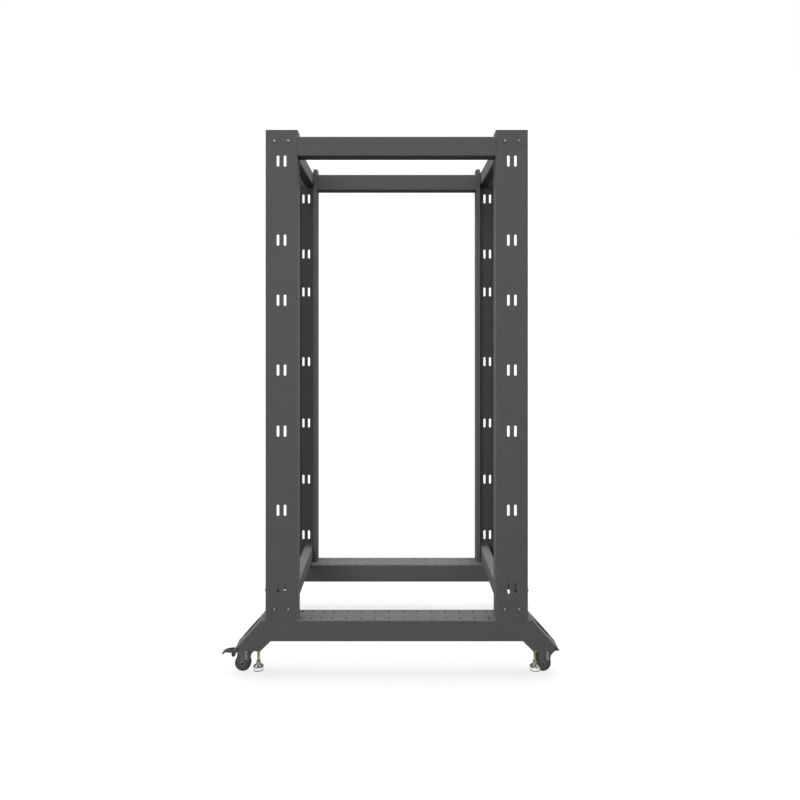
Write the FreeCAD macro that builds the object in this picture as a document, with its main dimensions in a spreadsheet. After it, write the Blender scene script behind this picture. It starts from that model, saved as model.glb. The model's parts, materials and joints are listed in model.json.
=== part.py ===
import FreeCAD, Part
import math
import os
import re
import Sketcher

# Four post open frame rack, in millimetres.
# +X points to the rear of the rack, +Y to its left side and +Z up.
# The origin lies on the floor, midway between the four posts.

SIZES = [
    ("post_span", 800.0, "front face to rear face of the posts"),
    ("frame_width", 550.0, "outer web face to outer web face"),
    ("post_web", 98.0, "width of a post's web"),
    ("post_flange", 50.0, "depth of a post's flanges"),
    ("post_lip", 15.0, "width of the lips that turn in from the flanges"),
    ("post_sheet", 2.0, "sheet thickness of the posts"),
    ("post_bend", 2.0, "outer bends of the posts, drawn as flats"),
    ("post_height", 1494.0, "length of a post"),
    ("post_foot", 4.0, "thickness of the plate welded in a post's foot"),
    ("rail_hole", 9.5, "side of a square rail hole"),
    ("rail_edge", 42.5, "outer web face to a column of rail holes"),
    ("rail_start", 58.5, "post foot to the lowest rack unit"),
    ("unit_height", 44.45, "height of one rack unit"),
    ("unit_count", 31, "rack units between the cross beams"),
    ("unit_hole_low", 6.35, "lowest hole above a unit's lower edge"),
    ("unit_hole_middle", 22.225, "middle hole above a unit's lower edge"),
    ("unit_hole_high", 38.1, "top hole above a unit's lower edge"),
    ("slot_width", 8.0, "width of a web slot"),
    ("slot_length", 34.0, "length of a web slot"),
    ("slot_spacing", 21.4, "distance between the slots of a pair"),
    ("slot_right_a", 97.0, "slot pair heights above the post foot, right side"),
    ("slot_right_b", 335.0, ""),
    ("slot_right_c", 576.0, ""),
    ("slot_right_d", 762.0, ""),
    ("slot_right_e", 975.0, ""),
    ("slot_right_f", 1158.0, ""),
    ("slot_right_g", 1399.0, ""),
    ("slot_left_a", 89.0, "slot pair heights above the post foot, left side"),
    ("slot_left_b", 304.0, ""),
    ("slot_left_c", 522.0, ""),
    ("slot_left_d", 760.0, ""),
    ("slot_left_e", 1030.0, ""),
    ("slot_left_f", 1177.0, ""),
    ("slot_left_g", 1391.0, ""),
    ("side_beam_height", 60.0, "height of the side top beams"),
    ("side_beam_drop", 20.0, "post top to the top of a side beam"),
    ("side_beam_sheet", 2.0, "wall of the side top beams"),
    ("side_beam_bend", 2.5, "corners of the side top beams, drawn as flats"),
    ("cross_width", 30.0, "width of a cross beam's tube along the rack"),
    ("cross_plate_width", 62.0, "width of a cross beam's end plates"),
    ("cross_height", 48.0, "height of a cross beam"),
    ("cross_inset", 33.5, "post end to the middle of a cross beam"),
    ("cross_sheet", 2.0, "wall of a cross beam"),
    ("cross_bend", 2.5, "corners of a cross beam, drawn as flats"),
    ("cross_plate", 4.0, "thickness of a cross beam's end plates"),
    ("base_level", 177.0, "floor to the top of the base beams"),
    ("base_height", 64.0, "height of a base beam between its legs"),
    ("base_width", 78.0, "width of a base beam"),
    ("base_flat", 824.0, "length of a base beam's flat top"),
    ("base_length", 993.0, "length of a base beam over its legs"),
    ("base_sheet", 2.5, "sheet thickness of the base beams"),
    ("base_bend", 2.0, "long upper bends of the base beams, drawn as flats"),
    ("leg_level", 83.0, "floor to the underside of the legs"),
    ("leg_length", 81.5, "length of a leg's underside"),
    ("leg_slope_run", 31.0, "run of a leg's inner slope"),
    ("leg_plate", 3.0, "thickness of a leg's bottom plate"),
    ("leg_window_width", 32.0, "width of the opening in a leg's sloped end"),
    ("leg_window_height", 54.0, "height of the opening in a leg's sloped end"),
    ("leg_window_inset", 58.0, "outer face to the middle of the opening"),
    ("leg_window_level", 131.0, "floor to the middle of the opening"),
    ("leg_clip", 13.5, "run of the clipped corners of a leg's side walls"),
    ("leg_clip_height", 15.0, "height of the clipped corners"),
    ("deck_hole", 6.0, "diameter of the holes in a base beam's top"),
    ("deck_reach", 294.0, "rack centre to the foremost hole in a base beam's top"),
    ("deck_step", 32.0, "distance between the four foremost holes of a row"),
    ("deck_stride", 43.7, "distance between the other holes of a row"),
    ("deck_edge", 14.0, "edge of the base beam to a row of holes"),
    ("caster_inset_x", 29.5, "end of a leg to a caster's swivel axis"),
    ("caster_inset_y", 51.0, "outer face of a base beam to a caster's swivel axis"),
    ("caster_plate_side", 50.0, "side of a caster's top plate"),
    ("caster_plate_sheet", 3.0, "thickness of a caster's top plate"),
    ("caster_plate_corner", 4.0, "cut corners of a caster's top plate"),
    ("caster_race", 15.0, "radius of the ball race below the plate"),
    ("caster_race_depth", 3.0, "depth of the ball race"),
    ("caster_gap", 0.3, "running gap between race and fork"),
    ("caster_pin", 4.0, "radius of the king pin"),
    ("caster_pin_head", 7.0, "radius of the king pin's head"),
    ("caster_pin_room", 4.4, "radius of the hole round the king pin"),
    ("caster_trail", 12.0, "swivel axis to wheel axle"),
    ("fork_sheet", 2.0, "sheet thickness of a fork"),
    ("fork_inside", 20.0, "space between a fork's cheeks"),
    ("fork_crown", 25.0, "swivel axis to the end of a fork's crown over the wheel"),
    ("fork_tail", 32.0, "swivel axis to the other end of the crown"),
    ("fork_eye", 19.0, "radius of a cheek's end round the axle"),
    ("fork_rib", 3.0, "depth of the rib pressed in a cheek"),
    ("fork_rib_width", 10.0, "width of the rib"),
    ("fork_rib_length", 39.0, "height of the rib"),
    ("wheel_diameter", 50.0, "diameter of a wheel"),
    ("wheel_width", 18.0, "width of a wheel"),
    ("axle_radius", 4.0, "radius of a wheel axle"),
    ("axle_fit", 0.1, "running clearance round an axle"),
    ("axle_head", 5.0, "radius of an axle's heads outside the cheeks"),
    ("axle_end", 1.5, "length of an axle's heads outside the cheeks"),
    ("pedal_pivot_z", 62.0, "floor to the pedal's pivot"),
    ("pedal_pin", 2.5, "radius of the pedal's pin"),
    ("pedal_arm", 13.0, "width of a pedal between the cheeks"),
    ("pedal_tread", 16.0, "width of a pedal outside the fork"),
    ("pedal_sheet", 2.0, "sheet thickness of a pedal"),
    ("pedal_reach", 65.0, "pivot to the tip of a pedal"),
    ("pedal_top", 2.2, "pivot to the flat top of a pedal"),
    ("pedal_low", 5.0, "pivot to the lower edge of a pedal"),
    ("pedal_lobe", 18.0, "pivot to the lower end of a pedal's lobes"),
    ("foot_inset_x", 73.5, "end of a leg to a levelling foot"),
    ("foot_inset_y", 11.0, "outer face of a base beam to a levelling foot"),
    ("foot_level", 22.0, "floor to the underside of a raised foot"),
    ("foot_pad_radius", 15.5, "radius of a foot's pad"),
    ("foot_pad_rim", 9.0, "height of a pad's rim"),
    ("foot_pad_height", 22.0, "height of a pad"),
    ("foot_neck", 6.0, "radius at the top of a pad"),
    ("stud_radius", 4.0, "radius of a foot's stud"),
    ("stud_length", 72.0, "length of a foot's stud"),
    ("stud_fit", 0.2, "clearance round a stud in its nut"),
    ("stud_hole", 4.7, "radius of the stud's hole in the leg"),
    ("nut_flats", 13.0, "width across flats of a foot's nut"),
    ("nut_height", 6.0, "height of a foot's nut"),
    ("hex_flats", 12.0, "width across flats of the stud's adjusting hexagon"),
    ("hex_height", 6.0, "height of the stud's adjusting hexagon"),
]

doc = FreeCAD.newDocument("rack")
sheet = doc.addObject("Spreadsheet::Sheet", "sizes")
for row, (alias, size, note) in enumerate(SIZES, start=1):
    sheet.set(f"A{row}", note)
    sheet.set(f"B{row}", str(size))
    sheet.setAlias(f"B{row}", alias)
doc.recompute()

ALIASES = {alias for alias, size, note in SIZES}
NODES = []


# Formulas on the sheet's names


def bound(formula):
    """The formula with every size written as a reference to the sheet."""
    return re.sub(r"[a-z_]+", lambda word: "sizes." + word.group() if word.group() in ALIASES
                  else word.group(), str(formula))


def amount(formula):
    """The formula's present value."""
    return float(sheet.evalExpression(bound(formula)))


# Sketches


def new_body(label, place=("0", "0", "0"), turn=0):
    body = doc.addObject("PartDesign::Body", label)
    body.Placement = FreeCAD.Placement(FreeCAD.Vector(), FreeCAD.Rotation(FreeCAD.Vector(0, 0, 1), turn))
    for axis, formula in zip("xyz", place):
        body.setExpression(f"Placement.Base.{axis}", bound(formula))
    NODES.append(body)
    return body


def new_sketch(body, plane, name, level=None):
    """A sketch on one of the body's own planes, raised along its normal by level."""
    sketch = body.newObject("Sketcher::SketchObject", f"{body.Label}_{name}")
    for feature in body.Origin.OriginFeatures:
        if feature.Role == plane:
            sketch.AttachmentSupport = (feature, "")
    sketch.MapMode = "FlatFace"
    if level:
        sketch.setExpression("AttachmentOffset.Base.z", bound(level))
    return sketch


def constrain(sketch, joins, sizes):
    """Join the given ends, then tie each size in sizes to its formula."""
    rules = [Sketcher.Constraint("Coincident", *ends) for ends in joins]
    rules += [Sketcher.Constraint(kind, *ends, amount(formula)) for kind, ends, formula in sizes]
    sketch.addConstraint(rules)
    first = sketch.ConstraintCount - len(sizes)
    for index, (kind, ends, formula) in enumerate(sizes):
        sketch.setExpression(f"Constraints[{first + index}]", bound(formula))


def at(piece, end, x, y):
    """The two sizes that hold one end of a piece at x, y."""
    return [("DistanceX", (-1, 1, piece, end), x), ("DistanceY", (-1, 1, piece, end), y)]


def add_outline(sketch, corners):
    """A closed outline. A corner is (x, y) or, between upright and level lines, (x, y, cut)
    with a flat across it."""
    path = []
    for index, corner in enumerate(corners):
        x, y = corner[0], corner[1]
        if len(corner) == 2:
            path.append((x, y))
            continue
        for other in (corners[index - 1], corners[(index + 1) % len(corners)]):
            if other[1] == y:
                sign = 1 if amount(other[0]) > amount(x) else -1
                path.append((f"({x}) + {sign} * ({corner[2]})", y))
            else:
                sign = 1 if amount(other[1]) > amount(y) else -1
                path.append((x, f"({y}) + {sign} * ({corner[2]})"))
    points = [FreeCAD.Vector(amount(x), amount(y), 0) for x, y in path]
    pieces = []
    sizes = []
    for index, (x, y) in enumerate(path):
        stop = points[(index + 1) % len(points)]
        pieces.append(sketch.addGeometry(Part.LineSegment(points[index], stop)))
        sizes += at(pieces[-1], 1, x, y)
    joins = [(piece, 2, after, 1) for piece, after in zip(pieces, pieces[1:] + pieces[:1])]
    constrain(sketch, joins, sizes)


def add_rectangle(sketch, x, y, width, height, cut=None):
    """A rectangle of the given width and height round the point x, y."""
    left, right = f"({x}) - ({width}) / 2", f"({x}) + ({width}) / 2"
    low, high = f"({y}) - ({height}) / 2", f"({y}) + ({height}) / 2"
    corners = [(left, low), (right, low), (right, high), (left, high)]
    if cut:
        corners = [corner + (cut,) for corner in corners]
    add_outline(sketch, corners)


def add_polygon(sketch, x, y, radius, count):
    """A regular polygon round the point x, y, with corners at the given radius."""
    corners = []
    for index in range(count):
        angle = 2 * math.pi * (index + 0.5) / count
        corners.append((f"({x}) + ({radius}) * ({math.cos(angle):.6f})",
                        f"({y}) + ({radius}) * ({math.sin(angle):.6f})"))
    add_outline(sketch, corners)


def add_circle(sketch, x, y, radius):
    centre = FreeCAD.Vector(amount(x), amount(y), 0)
    piece = sketch.addGeometry(Part.Circle(centre, FreeCAD.Vector(0, 0, 1), amount(radius)))
    constrain(sketch, [], at(piece, 3, x, y) + [("Radius", (piece,), radius)])


def add_slot(sketch, x, y, width, length):
    """An upright slot with round ends, round the point x, y."""
    reach = f"(({length}) - ({width})) / 2"
    sides = [f"({x}) - ({width}) / 2", f"({x}) + ({width}) / 2"]
    low, high = f"({y}) - {reach}", f"({y}) + {reach}"
    left, right = amount(sides[0]), amount(sides[1])
    bottom, top = amount(low), amount(high)
    radius = (right - left) / 2
    middle = (left + right) / 2
    corners = [FreeCAD.Vector(right, bottom, 0), FreeCAD.Vector(right, top, 0),
               FreeCAD.Vector(left, top, 0), FreeCAD.Vector(left, bottom, 0)]
    rise = sketch.addGeometry(Part.LineSegment(corners[0], corners[1]))
    cap = sketch.addGeometry(Part.Arc(corners[1], FreeCAD.Vector(middle, top + radius, 0), corners[2]))
    fall = sketch.addGeometry(Part.LineSegment(corners[2], corners[3]))
    cup = sketch.addGeometry(Part.Arc(corners[3], FreeCAD.Vector(middle, bottom - radius, 0), corners[0]))
    ring = [rise, cap, fall, cup]
    joins = [(piece, 2, ring[(index + 1) % 4], 1) for index, piece in enumerate(ring)]
    sizes = at(cap, 1, sides[1], high) + at(cap, 3, x, high)
    sizes += at(cup, 1, sides[0], low) + at(cup, 3, x, low)
    sizes += [("DistanceY", (-1, 1, rise, 1), low), ("DistanceY", (-1, 1, fall, 1), high)]
    constrain(sketch, joins, sizes)


def add_slot_with_flats(sketch, x, y, width, length):
    """An upright slot whose round ends are drawn with three flats each."""
    add_rectangle(sketch, x, y, width, length, f"({width}) * {1 - math.sqrt(0.5):.4f}")


# Features


def extrude(body, kind, sketch, length, symmetric=False, backwards=False):
    feature = body.newObject(f"PartDesign::{kind}", f"{sketch.Name}_{kind.lower()}")
    feature.Profile = sketch
    feature.setExpression("Length", bound(length))
    feature.Reversed = backwards
    if symmetric:
        feature.SideType = "Symmetric"
    body.Tip = feature
    return feature


def pad(body, sketch, length, **options):
    return extrude(body, "Pad", sketch, length, **options)


def pocket(body, sketch, length, **options):
    return extrude(body, "Pocket", sketch, length, **options)


def repeat(body, feature, sketch, axis, length, count):
    pattern = body.newObject("PartDesign::LinearPattern", f"{feature.Name}_row")
    pattern.Originals = [feature]
    pattern.Direction = (sketch, [axis])
    pattern.setExpression("Length", bound(length))
    pattern.setExpression("Occurrences", bound(count))
    body.Tip = pattern
    return pattern


def mirror(label, source, normal):
    """A mirrored copy of the source, on the other side of the rack's middle plane."""
    copy = doc.addObject("Part::Mirroring", label)
    copy.Source = source
    copy.Normal = normal
    NODES.append(copy)
    return copy


# Posts: lipped channels with slot pairs in the web and rail holes in the outer flange


def make_post(side, turn, outer, side_sign):
    """The front post of one side. Its own +Y points to the rack's middle plane."""
    body = new_body(f"post_front_{side}", turn=turn, place=(
        "-(post_span - post_web) / 2", f"{side_sign} * frame_width / 2", "base_level"))
    profile = new_sketch(body, "XY_Plane", "profile")
    half = "post_web / 2"
    throat = "post_web / 2 - post_lip"
    add_outline(profile, [
        (f"-({half})", "0", "post_bend"),
        (half, "0", "post_bend"),
        (half, "post_flange", "post_bend"),
        (throat, "post_flange"),
        (throat, "post_flange - post_sheet"),
        (f"{half} - post_sheet", "post_flange - post_sheet"),
        (f"{half} - post_sheet", "post_sheet"),
        (f"-({half} - post_sheet)", "post_sheet"),
        (f"-({half} - post_sheet)", "post_flange - post_sheet"),
        (f"-({throat})", "post_flange - post_sheet"),
        (f"-({throat})", "post_flange"),
        (f"-({half})", "post_flange", "post_bend"),
    ])
    pad(body, profile, "post_height")
    foot = new_sketch(body, "XY_Plane", "foot")
    add_rectangle(foot, "0", "post_flange / 2", "post_web - post_sheet",
                  "post_flange - post_sheet", "post_bend / 2")
    pad(body, foot, "post_foot")
    slots = new_sketch(body, "XZ_Plane", "slots")
    for letter in "abcdefg":
        for sign in (-1, 1):
            add = add_slot if sign == outer and letter in "ag" else add_slot_with_flats
            add(slots, f"{sign} * slot_spacing / 2", f"slot_{side}_{letter}",
                "slot_width", "slot_length")
    pocket(body, slots, "post_sheet * 2")
    unit = new_sketch(body, "YZ_Plane", "unit")
    for hole in ("unit_hole_low", "unit_hole_middle", "unit_hole_high"):
        add_rectangle(unit, "rail_edge", f"rail_start + {hole}",
                      "rail_hole", "rail_hole")
    cut = pocket(body, unit, "post_web", backwards=outer > 0)
    repeat(body, cut, unit, "V_Axis", "unit_height * (unit_count - 1)", "unit_count")
    return body


post_front_right = make_post("right", 0, -1, -1)
mirror("post_rear_right", post_front_right, (1, 0, 0))
post_front_left = make_post("left", 180, 1, 1)
mirror("post_rear_left", post_front_left, (1, 0, 0))


# Side top beams: tubes between the posts of one side


def make_side_beam():
    body = new_body("side_top_beam_right", place=(
        "0", "-(frame_width - post_flange) / 2",
        "base_level + post_height - side_beam_drop - side_beam_height / 2"))
    section = new_sketch(body, "YZ_Plane", "section")
    add_rectangle(section, "0", "0", "post_flange", "side_beam_height", "side_beam_bend")
    add_rectangle(section, "0", "0", "post_flange - 2 * side_beam_sheet",
                  "side_beam_height - 2 * side_beam_sheet")
    pad(body, section, "post_span - 2 * post_web", symmetric=True)
    return body


mirror("side_top_beam_left", make_side_beam(), (0, 1, 0))


# Cross beams: tubes with end plates, bolted between the posts' webs


def make_cross_beam(label, height):
    body = new_body(label, place=("-(post_span - post_web) / 2", "0", height))
    clear = "(frame_width - 2 * post_sheet)"
    section = new_sketch(body, "XZ_Plane", "section")
    add_rectangle(section, "0", "0", "cross_plate_width", "cross_height", "cross_bend")
    pad(body, section, clear, symmetric=True)
    # The tube stands at the inner edge of its end plates.
    hollow = new_sketch(body, "XZ_Plane", "hollow")
    add_rectangle(hollow, "(cross_plate_width - cross_width) / 2", "0",
                  "cross_width - 2 * cross_sheet", "cross_height - 2 * cross_sheet")
    add_rectangle(hollow, "-cross_width / 2 - cross_plate", "0",
                  "cross_plate_width - cross_width + 2 * cross_plate", "2 * cross_height")
    pocket(body, hollow, f"{clear} - 2 * cross_plate", symmetric=True)
    return body


for level, height in (("bottom", "base_level + cross_inset"),
                      ("top", "base_level + post_height - cross_inset")):
    cross_beam_front = make_cross_beam(f"cross_beam_{level}_front", height)
    mirror(f"cross_beam_{level}_rear", cross_beam_front, (1, 0, 0))


# Base beams: folded channels, open below, that end in sloped legs


def make_base_beam():
    body = new_body("base_beam_right", place=("0", "-(frame_width - base_width) / 2", "0"))
    side = new_sketch(body, "XZ_Plane", "side")
    foot_end = "base_length / 2"
    foot_start = "(base_length / 2 - leg_length)"
    underside = "base_level - base_height"
    add_outline(side, [
        ("base_flat / 2", "base_level"),
        ("-base_flat / 2", "base_level"),
        (f"-{foot_end}", "leg_level"),
        (f"-{foot_start}", "leg_level"),
        (f"-{foot_start} + leg_slope_run", underside),
        (f"{foot_start} - leg_slope_run", underside),
        (foot_start, "leg_level"),
        (foot_end, "leg_level"),
    ])
    pad(body, side, "base_width", symmetric=True)
    # The hollow keeps one sheet below the top and inside the slope.
    fall = "(base_level - leg_level)"
    run = "((base_length - base_flat) / 2)"
    shift = f"base_sheet * sqrt({fall} ^ 2 + {run} ^ 2) / {fall}"
    top_end = f"(base_flat / 2 + base_sheet * {run} / {fall} - {shift})"
    low_end = f"(base_length / 2 - leg_plate * {run} / {fall} - {shift})"
    hollow = new_sketch(body, "XZ_Plane", "hollow")
    add_outline(hollow, [
        (top_end, "base_level - base_sheet"),
        (f"-{top_end}", "base_level - base_sheet"),
        (f"-{low_end}", "leg_level + leg_plate"),
        (f"-{foot_start}", "leg_level + leg_plate"),
        (f"-{foot_start}", "leg_level - leg_plate"),
        (foot_start, "leg_level - leg_plate"),
        (foot_start, "leg_level + leg_plate"),
        (low_end, "leg_level + leg_plate"),
    ])
    pocket(body, hollow, "base_width - 2 * base_sheet", symmetric=True)
    window = new_sketch(body, "YZ_Plane", "window")
    add_slot_with_flats(window, "leg_window_inset - base_width / 2", "leg_window_level",
                        "leg_window_width", "leg_window_height")
    pocket(body, window, "base_length * 2", symmetric=True)
    edges = new_sketch(body, "YZ_Plane", "edges")
    for sign in (-1, 1):
        add_outline(edges, [(f"{sign} * (base_width / 2 + base_bend)", "base_level - 2 * base_bend"),
                            (f"{sign} * (base_width / 2 + base_bend)", "base_level + base_bend"),
                            (f"{sign} * (base_width / 2 - 2 * base_bend)", "base_level + base_bend")])
    pocket(body, edges, "base_length * 2", symmetric=True)
    clips = new_sketch(body, "XY_Plane", "clips", "leg_level - leg_plate")
    for x_sign in (-1, 1):
        for y_sign in (-1, 1):
            add_rectangle(clips, f"{x_sign} * base_length / 2", f"{y_sign} * base_width / 2",
                          "2 * leg_clip", "2 * base_sheet")
    pocket(body, clips, "leg_plate + leg_clip_height", backwards=True)
    studs = new_sketch(body, "XY_Plane", "studs", "leg_level - leg_plate")
    for sign in (-1, 1):
        add_polygon(studs, f"{sign} * (base_length / 2 - foot_inset_x)",
                    "foot_inset_y - base_width / 2", "stud_hole", 10)
    pocket(body, studs, "3 * leg_plate", backwards=True)
    # A row has four holes at the short distance, then eleven at the long one.
    fourth = "-deck_reach + 3 * deck_step"
    deck_rows = [f"{sign} * (base_width / 2 - deck_edge)" for sign in (-1, 1)]
    corners = new_sketch(body, "XY_Plane", "deck_corners", "base_level + base_sheet")
    steps = new_sketch(body, "XY_Plane", "deck_steps", "base_level + base_sheet")
    strides = new_sketch(body, "XY_Plane", "deck_strides", "base_level + base_sheet")
    for deck_row in deck_rows:
        add_circle(corners, "-deck_reach", deck_row, "deck_hole / 2")
        add_circle(corners, f"{fourth} + 11 * deck_stride", deck_row, "deck_hole / 2")
        add_polygon(steps, "-deck_reach + deck_step", deck_row, "deck_hole / 2", 6)
        add_polygon(strides, f"{fourth} + deck_stride", deck_row, "deck_hole / 2", 6)
    pocket(body, corners, "3 * base_sheet")
    cut = pocket(body, steps, "3 * base_sheet")
    repeat(body, cut, steps, "H_Axis", "deck_step * 2", "3")
    cut = pocket(body, strides, "3 * base_sheet")
    repeat(body, cut, strides, "H_Axis", "deck_stride * 9", "10")
    return body


mirror("base_beam_left", make_base_beam(), (0, 1, 0))


# Casters: plate with ball race and king pin, swivelling fork, wheel


def caster_place(corner, shift, level):
    """A place that keeps its distance from the leg's end and the base beam's outer face."""
    x_sign = -1 if "front" in corner else 1
    y_sign = -1 if "right" in corner else 1
    return (f"{x_sign} * (base_length / 2 - caster_inset_x) - ({shift})",
            f"{y_sign} * (frame_width / 2 - caster_inset_y)", level)


CROWN = "(leg_level - caster_plate_sheet - caster_race_depth - caster_gap)"


def make_caster_plate():
    body = new_body("caster_plate_front_right", place=caster_place(
        "front_right", "0", "leg_level - caster_plate_sheet"))
    plate = new_sketch(body, "XY_Plane", "plate")
    add_rectangle(plate, "0", "0", "caster_plate_side", "caster_plate_side", "caster_plate_corner")
    pad(body, plate, "caster_plate_sheet")
    race = new_sketch(body, "XY_Plane", "race")
    add_polygon(race, "0", "0", "caster_race", 20)
    pad(body, race, "caster_race_depth", backwards=True)
    # The pin passes the fork's crown and holds it with its head.
    pin = new_sketch(body, "XY_Plane", "pin", "-caster_race_depth")
    add_circle(pin, "0", "0", "caster_pin")
    pad(body, pin, "2 * caster_gap + fork_sheet", backwards=True)
    head = new_sketch(body, "XY_Plane", "head",
                      "-caster_race_depth - 2 * caster_gap - fork_sheet")
    add_polygon(head, "0", "0", "caster_pin_head", 12)
    pad(body, head, "fork_sheet", backwards=True)
    return body


def make_fork(corner, turn):
    """The fork's own origin is the swivel axis on the floor."""
    body = new_body(f"caster_fork_{corner}", place=caster_place(corner, "0", "0"), turn=turn)
    axle = "wheel_diameter / 2"
    cheeks = new_sketch(body, "XZ_Plane", "cheeks")
    ends = []
    for index in range(9):
        angle = math.pi * index / 8
        ends.append((f"-caster_trail - fork_eye * ({math.cos(angle):.6f})",
                     f"{axle} - fork_eye * ({math.sin(angle):.6f})"))
    add_outline(cheeks, [
        ("fork_tail", CROWN),
        ("-fork_crown", CROWN),
        ("-fork_crown - 2 * fork_sheet", f"{CROWN} - fork_crown"),
    ] + ends + [
        ("0.5 * fork_crown", f"{CROWN} - fork_crown"),
        ("fork_tail", f"{CROWN} - 2 * fork_sheet"),
    ])
    pad(body, cheeks, "fork_inside + 2 * fork_sheet", symmetric=True)
    ribs = new_sketch(body, "XY_Plane", "ribs", f"{CROWN} - fork_sheet")
    rib = "fork_inside + 2 * fork_sheet + 2 * fork_rib"
    add_rectangle(ribs, "0", "0", "fork_rib_width", rib, "fork_rib_width * 0.2")
    pad(body, ribs, "fork_rib_length", backwards=True)
    inside = new_sketch(body, "XZ_Plane", "inside")
    add_rectangle(inside, "0", f"({CROWN} - fork_sheet) / 2", "4 * fork_crown",
                  f"{CROWN} - fork_sheet")
    pocket(body, inside, "fork_inside", symmetric=True)
    shaft = new_sketch(body, "XZ_Plane", "shaft")
    add_circle(shaft, "-caster_trail", axle, "axle_radius")
    pad(body, shaft, "fork_inside + fork_sheet", symmetric=True)
    for sign, name in ((1, "near_head"), (-1, "far_head")):
        head = new_sketch(body, "XZ_Plane", name, f"{sign} * (fork_inside / 2 + fork_sheet)")
        add_polygon(head, "-caster_trail", axle, "axle_head", 16)
        pad(body, head, "axle_end", backwards=sign < 0)
    hole = new_sketch(body, "XY_Plane", "hole", f"{CROWN} + fork_sheet")
    add_polygon(hole, "0", "0", "caster_pin_room", 16)
    pocket(body, hole, "3 * fork_sheet")
    return body


def trail(turn):
    """The way from the wheel's axle to the swivel axis, along X."""
    return "-caster_trail" if turn else "caster_trail"


def make_wheel(corner, turn):
    body = new_body(f"caster_wheel_{corner}", turn=turn, place=caster_place(
        corner, trail(turn), "wheel_diameter / 2"))
    section = new_sketch(body, "XZ_Plane", "section")
    add_polygon(section, "0", "0", "wheel_diameter / 2", 36)
    add_circle(section, "0", "0", "axle_radius + axle_fit")
    pad(body, section, "wheel_width", symmetric=True)
    return body


def make_pedal(corner, turn):
    """A stamped lever, open below. Its own origin is its pivot."""
    body = new_body(f"brake_pedal_{corner}", turn=turn, place=caster_place(
        corner, trail(turn), "pedal_pivot_z"))
    side = new_sketch(body, "XZ_Plane", "side")
    boss = "2 * pedal_pin"
    add_outline(side, [
        (boss, "pedal_pin"),
        ("pedal_pin", boss),
        ("-pedal_reach * 0.3", f"({boss} + pedal_top) / 2"),
        ("-pedal_reach * 0.48", "pedal_top"),
        ("-pedal_reach * 0.74", "pedal_top"),
        ("-pedal_reach * 0.86", "pedal_top * 0.3"),
        ("-pedal_reach * 0.95", "-pedal_top * 1.6"),
        ("-pedal_reach", "-pedal_low * 1.6"),
        ("-pedal_reach * 0.97", "-pedal_low * 2.1"),
        ("-pedal_reach * 0.9", "-pedal_low * 1.4"),
        ("-pedal_reach * 0.82", "-pedal_low * 0.8"),
        ("-pedal_reach * 0.54", "-pedal_low"),
        ("-pedal_reach * 0.54", "-pedal_lobe * 0.75"),
        ("-pedal_reach * 0.5", "-pedal_lobe * 0.93"),
        ("-pedal_reach * 0.45", "-pedal_lobe"),
        ("-pedal_reach * 0.4", "-pedal_lobe * 0.93"),
        ("-pedal_reach * 0.36", "-pedal_lobe * 0.75"),
        ("-pedal_reach * 0.36", "-pedal_low"),
        ("-pedal_pin", f"-({boss})"),
        ("pedal_pin", f"-({boss})"),
        (boss, "-pedal_pin"),
    ])
    pad(body, side, "pedal_tread", symmetric=True)
    sides = new_sketch(body, "XY_Plane", "sides", "-2 * pedal_lobe")
    for sign in (-1, 1):
        add_rectangle(sides, "pedal_reach * 0.15", f"{sign} * (pedal_arm + pedal_tread) / 2",
                      "pedal_reach", "pedal_tread")
    pocket(body, sides, "4 * pedal_lobe", backwards=True)
    hollow = new_sketch(body, "XZ_Plane", "hollow")
    add_outline(hollow, [
        ("-pedal_reach * 0.36 - pedal_sheet", "-2 * pedal_lobe"),
        ("-pedal_reach * 0.36 - pedal_sheet", "pedal_top - 0.8 * pedal_sheet"),
        ("-pedal_reach * 0.48", "pedal_top - pedal_sheet"),
        ("-pedal_reach * 0.74", "pedal_top - pedal_sheet"),
        ("-pedal_reach * 0.84", "-pedal_top * 0.75"),
        ("-pedal_reach * 0.91", "-pedal_top * 2.5"),
        ("-pedal_reach * 0.91", "-2 * pedal_lobe"),
    ])
    pocket(body, hollow, "pedal_tread - 2 * pedal_sheet", symmetric=True)
    pin = new_sketch(body, "XZ_Plane", "pin")
    add_circle(pin, "0", "0", "pedal_pin")
    pad(body, pin, "fork_inside", symmetric=True)
    return body


# Levelling feet: pad, stud with an adjusting hexagon, and the nut below the leg


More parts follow.
